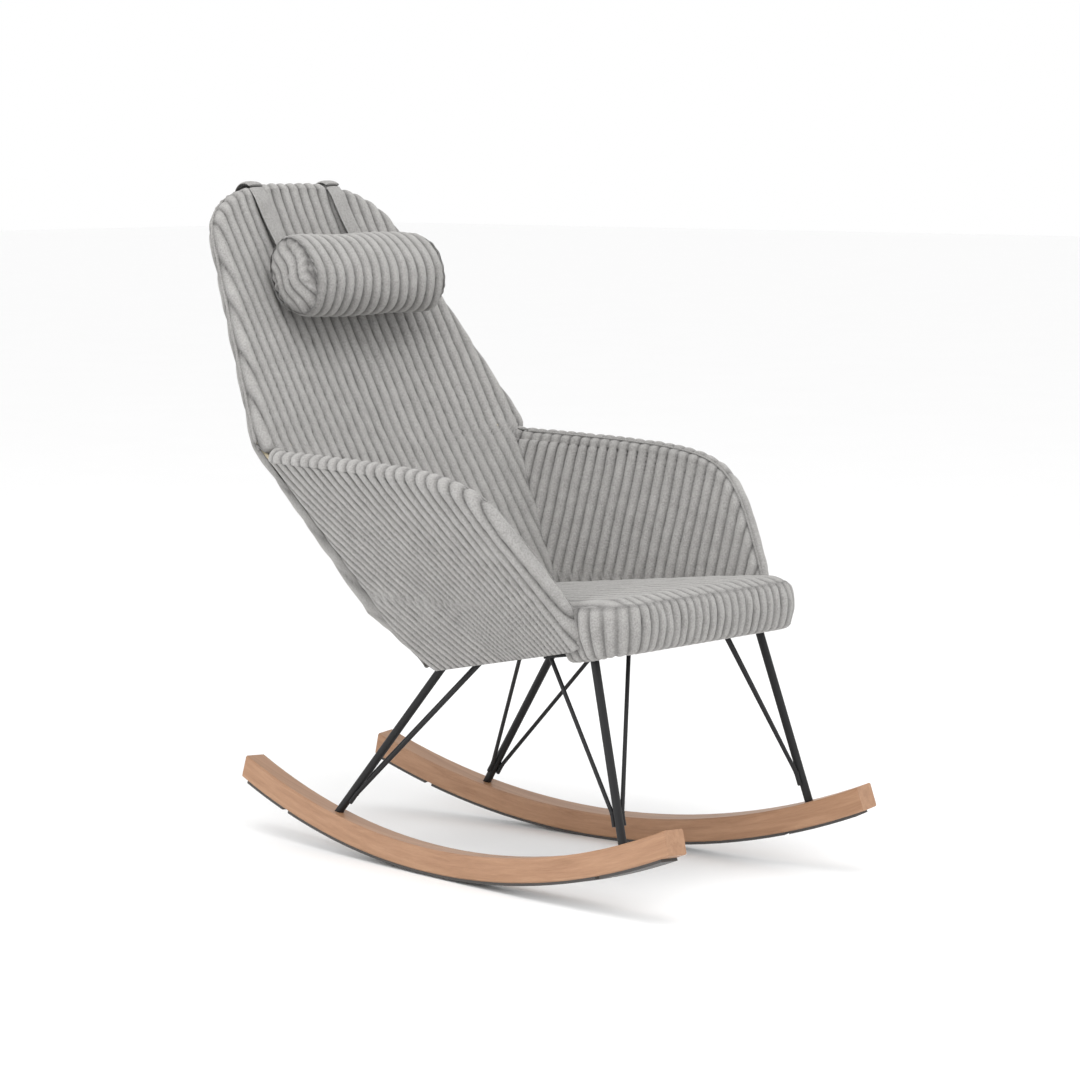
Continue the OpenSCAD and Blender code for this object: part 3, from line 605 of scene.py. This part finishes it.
def side_phase(y, z):
    """Rib number on the outer side. A rib leaves the top line straight down and then leans forward, more so
    the further back it starts; its start is found by halving for every point at once."""
    y = y - contact_y
    below = np.maximum(0.588 - z, 0)
    fall = below ** 2 / (below + 0.035)
    low, high = np.full(y.shape, -1.2), np.full(y.shape, 1.2)
    for _ in range(34):
        middle = (low + high) / 2
        lean = np.interp(middle, [-0.6, -0.12, 0.19, 0.35], [0.75, 0.80, 1.45, 1.50])
        beyond = middle - lean * fall > y
        low, high = np.where(beyond, low, middle), np.where(beyond, middle, high)
    return (low + high) / 2 / pitch


outer_rolls = np.radians(np.linspace(6, 118, 20))
inner_rolls = np.radians(np.linspace(6, 60, 10))
side_outer, side_inner = (side_sheet(q_side, 1, r, outer_rolls) for r in (rim_r, rim_r - cloth_t))
arm_outer, arm_inner = (side_sheet(q_inner, -1, r, inner_rolls) for r in (rim_r, rim_r - cloth_t))
side_calm = ease(np.arange(side_outer.shape[1])[::-1][None, :] * 0.0014 / 0.006) * ease(
    np.arange(side_outer.shape[1])[None, :] * 0.0024 / 0.008)
side_face, side_rib_shade = corded(side_outer, side_inner, side_phase(side_outer[..., 1], side_outer[..., 2])
                              + 0.04 * ripple(side_outer, 18, 3.0), calm=side_calm,
                              lift=0.0006 * ripple(side_outer, 60, 1.4))
arm_calm = ease(np.arange(arm_outer.shape[1])[::-1][None, :] * 0.0016 / 0.008)
arm_face, arm_rib_shade = corded(arm_outer, arm_inner, (arm_outer[..., 1] - contact_y) / pitch
                            + 0.04 * ripple(arm_outer, 18, 4.0), calm=arm_calm,
                            lift=0.0005 * ripple(arm_outer, 60, 2.4))
arm_seam = side_sheet(q_arm, 1, rim_r + 0.0004, np.radians([118.0]))[:len(q_arm), -1]
for name, hand in (("left", 1), ("right", -1)):
    turn_over = np.array([hand, 1, 1])
    solid(f"side_cover_outer_{name}", [(side_face * turn_over, side_inner * turn_over)], corduroy, "chair",
          [f"side_cover_{name}"], [side_rib_shade])
    solid(f"arm_cover_inner_{name}", [(arm_face * turn_over, arm_inner * turn_over)], corduroy, "chair",
          [f"arm_cover_{name}"], [arm_rib_shade])
    cord(f"arm_rim_seam_{name}", arm_seam * turn_over,
         0.0016 + 0.0003 * np.sin(np.arange(len(arm_seam)) * 1.7), "chair")


# ---- Seat cover ----
# The top of the seat pad: corduroy with its ribs from front to back, softly crowned, and sewn to
# the front border along its front edge.
base_tilt, base_y, base_z = math.radians(9.7), -0.310 + contact_y, 0.352
seat_tilt, seat_front_z = math.radians(6.2), 0.414
corner_x, corner_y, corner_size = 0.146, 0.012, 0.052


def on_base(x, y, z):
    """A point given in the seat base's own frame, which tilts down to the rear."""
    return np.stack([x + 0 * y, base_y + y * math.cos(base_tilt) + z * math.sin(base_tilt) + 0 * x,
                     base_z - y * math.sin(base_tilt) + z * math.cos(base_tilt) + 0 * x], -1)


def seat_plane(y):
    """Height of the seat's top plane at y."""
    return seat_front_z - (y - contact_y + 0.335) * math.tan(seat_tilt)


def seat_half(y):
    """Half the width of the seat at y in the base frame: a round front corner, then in to the rear corner."""
    front = corner_x + np.sqrt(np.maximum(corner_size ** 2 - np.minimum(y - corner_y, 0) ** 2, 0))
    straight = np.interp(y, [corner_y, 0.350], [corner_x + corner_size, 0.154])
    rear = 0.124 + np.sqrt(np.maximum(0.030 ** 2 - np.maximum(y - 0.350, 0) ** 2, 0))
    return np.where(y < corner_y, front, np.where(y > 0.350, rear, straight))


fine_y = np.concatenate([-0.040 + 0.052 * (1 - np.cos(np.linspace(0, math.pi / 2, 200))),
                         np.linspace(0.012, 0.380, 400)[1:]])
seat_line = np.stack([seat_half(fine_y), fine_y], -1)
seat_rows = np.interp(even(seat_line, 0.004), np.arange(len(fine_y)), fine_y)
seat_u = np.linspace(-1, 1, 170)


def seat_sheet(drop):
    """Top of the seat, lowered by drop: a plane with a low crown, rounded at its front and side edges."""
    y = seat_rows[:, None]
    half = seat_half(y) + 0.0006
    x = half * seat_u[None, :]
    place = on_base(x, y, 0.0)
    to_side = half * (1 - np.abs(seat_u))[None, :]
    to_front = np.maximum(y + 0.040, 0) + 0 * x
    crown = (0.006 * (1 - seat_u[None, :] ** 2) * ease(to_front / 0.14)
             + 0.007 * ease(to_front / 0.030) * ease(to_side / 0.026))
    round_off = 0.0014 * (1 - ease(to_front / 0.010)) + 0.0010 * (1 - ease(to_side / 0.010))
    place[..., 2] = seat_plane(place[..., 1]) + crown - round_off - drop
    return place, np.minimum(to_front, to_side)


seat_outer, from_edge = seat_sheet(0.0)
seat_inner, _ = seat_sheet(0.0030)
seat_face, seat_rib_shade = corded(seat_outer, seat_inner,
                              seat_outer[..., 0] / pitch + 0.04 * ripple(seat_outer, 18, 5.0), height=0.0034,
                              calm=ease(from_edge / 0.008 + 0.1), lift=0.0008 * ripple(seat_outer, 40, 2.0))
solid("seat_cover_top", [(seat_face, seat_inner)], corduroy, "chair", ["seat_cover"], [seat_rib_shade])


# ---- Front border ----
# A boxing strip of corduroy with upright ribs round the front of the seat. It is sewn to the seat's
# top, padded out, and turned under at its lower edge, which the ribs scallop.
arc = np.radians(np.linspace(0, 90, 40))
end_run = np.linspace(0, 0.045, 20)
half_path = np.concatenate([
    np.stack([np.linspace(0, corner_x, 60)[:-1], np.full(59, corner_y - corner_size)], -1),
    np.stack([corner_x + corner_size * np.sin(arc), corner_y - corner_size * np.cos(arc)], -1),
    np.stack([corner_x + corner_size - end_run[1:] * 0.13, corner_y + end_run[1:]], -1)])
half_picks = even(half_path, 0.0023)
half_path = np.stack([np.interp(half_picks, np.arange(len(half_path)), half_path[:, k]) for k in (0, 1)], -1)
border_path = np.concatenate([(half_path * [-1, 1])[:0:-1], half_path])
border_run = np.concatenate([[0], np.cumsum(np.linalg.norm(np.diff(border_path, axis=0), axis=1))])
border_run = border_run - border_run[-1] / 2
border_way = unit(np.gradient(border_path, axis=0))
border_out = np.stack([border_way[:, 1], -border_way[:, 0]], -1)
profile_w = np.linspace(0, 1, 34)


def border_sheet(inward):
    """The border at a depth inward from its face: columns follow the seat's edge, and each column's profile
    swells out below the seam and curls under at the bottom."""
    w = profile_w[:, None]
    puff = (0.0012 + 0.0088 * np.sin(np.pi * np.clip(w * 1.08, 0, 1)) ** 0.8
            - 0.012 * ease((w - 0.84) / 0.16) - inward)
    x = border_path[None, :, 0] + border_out[None, :, 0] * puff
    y = border_path[None, :, 1] + border_out[None, :, 1] * puff
    low = on_base(x, y, np.full_like(x, -0.0075))
    top = seat_plane(low[..., 1]) - 0.0006
    fall = np.clip(w / 0.9, 0, 1) * 0.97 + 0.03 * w
    low[..., 2] = top + (low[..., 2] - top) * fall
    # The ends slant with the side cover's front seam
    slant = np.clip((np.abs(border_run) - 0.19) / 0.06, 0, 1)[None, :] * (0.5 - w) * 0.030
    low[..., 1] = low[..., 1] + slant
    return low


border_outer, border_inner = border_sheet(0.0), border_sheet(0.0026)
border_calm = (ease(profile_w / 0.10) * ease((1.06 - profile_w) / 0.12))[:, None] + 0 * border_run[None, :]
border_pitch = 0.0156
border_face, border_rib_shade = corded(border_outer, border_inner, (border_run / border_pitch)[None, :]
                                  + 0.05 * ripple(border_outer, 24, 6.0), height=0.0052, calm=border_calm,
                                  lift=0.0007 * ripple(border_outer, 70, 3.0))
scallop = 0.0035 * ease((profile_w - 0.7) / 0.3)[:, None] * wale(border_run / border_pitch)[None, :]
border_face[..., 2] = border_face[..., 2] - scallop
solid("seat_border_front", [(border_face, border_inner)], corduroy, "chair", ["seat_border"],
      [border_rib_shade])


# ---- Head pillow ----
# A soft roll of the same corduroy with its ribs round it, closed at each end by a round panel. The
# end seams pucker, and the filling bulges a little between them.
pillow_s, pillow_d = 0.508, -0.063
pillow_l, pillow_h, pillow_t = 0.1405, 0.062, 0.047


def on_back(x, depth, rise):
    """A point in the pillow's own frame: x across, depth behind its middle, rise up the slope."""
    return back_point(x, pillow_s + rise, pillow_d + depth)


def roll_ring(x, size, angle):
    """The roll's outline at x: an oval scaled by size, flatter behind, where it rests on the back."""
    depth = size * pillow_t * np.cos(angle) * np.where(np.cos(angle) > 0, 0.92, 1.04)
    return on_back(x, depth, size * pillow_h * np.sin(angle))


turn_round = np.linspace(0, 2 * math.pi, 141)[:-1]
roll_x = np.linspace(-pillow_l + 0.006, pillow_l - 0.006, 132)
angle = turn_round[None, :]
lengthwise = roll_x[:, None]
end_in = np.clip((pillow_l - np.abs(lengthwise)) / 0.035, 0, 1)
size = 0.90 + 0.10 * np.sqrt(1 - (1 - end_in) ** 2) + 0.012 * np.sin(3 * angle + 40 * lengthwise) \
    + 0.008 * np.sin(5 * angle - 26 * lengthwise)
pucker = np.exp(-(pillow_l - 0.006 - np.abs(lengthwise)) / 0.010)
size = size + 0.012 * pucker * np.sin(23 * angle + 2 * np.sin(3 * angle))
drift = 0.0028 * np.sin(2 * angle + 9 * lengthwise) + 0.0016 * np.sin(5 * angle)
ribs = wale((lengthwise + drift) / pitch)
tube_height = 0.0062 * (ribs - 0.6) * (1 - 0.5 * pucker)
roll = roll_ring(lengthwise + drift * 0.6, size + tube_height / 0.055, angle)

# The end panels: rings from the seam in to the middle, with upright ribs and creases off the seam
share = np.concatenate([np.linspace(1, 0.12, 24), [0.0]])
caps = []
for end in (-1, 1):
    g = share[:, None]
    upright = g * pillow_t * np.cos(angle)
    crease = 0.0022 * g ** 3 * np.sin(17 * angle + 3 * np.sin(2 * angle))
    panel_ribs = wale((upright + 0.004 * np.sin(6 * g * np.sin(angle))) / pitch + 0.15)
    dome = 0.010 * (1 - g ** 2) + 0.0042 * (panel_ribs - 0.6) * (1 - g ** 8) + crease - 0.004 * g ** 10
    at = end * (pillow_l - 0.006 + dome)
    edge = size[0 if end < 0 else -1][None, :] + tube_height[0 if end < 0 else -1][None, :] / 0.055
    caps.append((roll_ring(at, g * (edge * g ** 2 + 0.9 * (1 - g ** 2)), angle),
                 # The end panel's pile halves towards the seam: painted shade along the puckered end seams.
                 panel_ribs * (0.5 + 0.5 * (1 - g ** 6))))


def closed_roll(name, rings, rib_shades, finish, body, replaced):
    """A closed skin from rings of equal count: each ring joins the next all round, and the first and the last
    shrink to a point."""
    n, m = rings.shape[:2]
    grid = np.arange(n * m).reshape(n, m)
    nxt = np.roll(grid, -1, 1)
    faces = np.stack([grid[:-1], nxt[:-1], nxt[1:], grid[1:]], -1).reshape(-1, 4)
    points = rings.reshape(-1, 3)
    centre = points.mean(0)
    a, b, c = (points[faces[:, i]] - centre for i in range(3))
    if np.sum(np.cross(b - a, c - a) * a) < 0:
        faces = faces[:, ::-1]
    mesh = bpy.data.meshes.new(name)
    mesh.from_pydata(points.tolist(), [], faces.tolist())
    mesh.attributes.new("pile", "FLOAT", "POINT").data.foreach_set("value", rib_shades.astype(np.float32).ravel())
    knit = bmesh.new()
    knit.from_mesh(mesh)
    bmesh.ops.remove_doubles(knit, verts=knit.verts, dist=1e-6)
    knit.to_mesh(mesh)
    knit.free()
    mesh.polygons.foreach_set("use_smooth", [True] * len(mesh.polygons))
    mesh.materials.append(finish.material)
    piece = bpy.data.objects.new(name, mesh)
    bpy.context.scene.collection.objects.link(piece)
    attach(piece, body)
    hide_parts(*replaced)
    return piece


left_cap, left_rib_shade = caps[0]
right_cap, right_rib_shade = caps[1]
pillow_rings = np.concatenate([left_cap[::-1], roll, right_cap])
# pile drops where the roll puckers by its end seams: painted shade in the puckers.
pillow_rib_shade = np.concatenate([left_rib_shade[::-1] + 0 * angle, ribs * (1 - 0.4 * pucker) + 0 * angle,
                              right_rib_shade + 0 * angle])
closed_roll("pillow_cover_roll", pillow_rings, pillow_rib_shade, corduroy, "head_pillow", ["pillow_cover"])


# ---- Straps ----
# Two flat straps of the cover fabric hold the pillow. Each runs from behind the pillow up the front
# of the back, over the crest, and down the rear to a tab that closes on a strip of hook-and-loop tape.
strap_w, strap_t, strap_x = 0.028, 0.0042, 0.080


def strip(x0, s, d, width=strap_w, thick=strap_t, dome=0.0012):
    """A flat strap along a path in the slope's plane: two faces of a low domed section, square to the path.
    The domed face is turned away from the back."""
    path = np.stack([s, d], -1)
    way = unit(np.gradient(path, axis=0))
    out = np.stack([-way[:, 1], way[:, 0]], -1) * (1 if path[0, 1] > 0 else -1) * (1 if way[0, 0] > 0 else -1)
    v = np.linspace(-1, 1, 17)[None, :]
    edge = np.sqrt(np.clip(1 - v ** 8, 0, 1))
    faces = []
    for side in (1, -1):
        lift = side * thick / 2 * edge + (dome * (1 - v ** 2) if side > 0 else 0)
        hem = -0.0007 * np.exp(-((np.abs(v) - 0.78) / 0.05) ** 2) * (side > 0)
        at_s = path[:, :1] + out[:, :1] * (lift + hem)
        at_d = path[:, 1:] + out[:, 1:] * (lift + hem)
        faces.append(back_point(x0 + v * width / 2 + 0 * at_s, at_s, at_d))
    return faces[0], faces[1]


def smooth_path(knots, count):
    """A smooth run through knots in (s, d): corners cut by repeated averaging of a fine polyline."""
    knots = np.array(knots)
    length = np.concatenate([[0], np.cumsum(np.linalg.norm(np.diff(knots, axis=0), axis=1))])
    fine = np.linspace(0, length[-1], count)
    path = np.stack([np.interp(fine, length, knots[:, k]) for k in (0, 1)], -1)
    for _ in range(12):
        path[1:-1] = (path[:-2] + 2 * path[1:-1] + path[2:]) / 4
    return path[:, 0], path[:, 1]


front_run = smooth_path([(0.548, -0.030), (0.580, -0.0225), (0.630, -0.0195),
                         (0.672, -0.0205), (0.686, -0.0175)], 60)
over_a = np.radians(np.linspace(22, 158, 40))
over_run = (0.682 + 0.0200 * np.sin(over_a), -0.0205 * np.cos(over_a))
rear_run = smooth_path([(0.690, 0.0186), (0.660, 0.0262), (0.610, 0.0322), (0.572, 0.0352)], 50)
webbing = Finish("hook_and_loop_webbing", Roughness=0.95)
loops = webbing.noise(webbing.place(), 900.0, 4.0, 0.7)
webbing.feed("Base Color", webbing.blend(loops, (0.20, 0.19, 0.18), (0.36, 0.345, 0.33)))
webbing.bump(loops, 0.8, 0.001)

pair = (-strap_x, strap_x)
# Straps take a fixed pile of 0.8: an even share of the corduroy's painted valley shade.
front_straps = solid("pillow_straps_front", [strip(x, *front_run) for x in pair], corduroy, None,
                     ["straps_front"], [np.full((60, 17), 0.8)] * 2)
tuple(back_point(0.0, 0.680, -0.02))
tuple(back_point(0.0, 0.560, -0.02))
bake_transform(front_straps)
solid("pillow_straps_top", [strip(x, *over_run) for x in pair], corduroy, "chair", ["straps_top"],
      [np.full((40, 17), 0.8)] * 2)
rear_straps = solid("pillow_straps_rear", [strip(x, *rear_run) for x in pair], corduroy, None,
                    ["straps_rear"], [np.full((50, 17), 0.8)] * 2)
tuple(back_point(0.0, 0.680, 0.02))
tuple(back_point(0.0, 0.578, 0.03))
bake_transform(rear_straps)
tab_run = smooth_path([(0.576, 0.0354), (0.540, 0.0372), (0.506, 0.0386)], 30)
solid("strap_end_tabs", [strip(x, *tab_run, thick=0.0046) for x in pair], corduroy, "strap_ends",
      ["strap_tabs"], [np.full((30, 17), 0.8)] * 2)
patch_run = smooth_path([(0.640, 0.0262), (0.560, 0.0310), (0.462, 0.0345)], 40)
loop_tape = [strip(x, *patch_run, width=0.036, thick=0.002, dome=0.0) for x in pair]
solid("loop_tape_strips", loop_tape, webbing, "chair", ["loop_patches"], [np.ones((40, 17))] * 2)
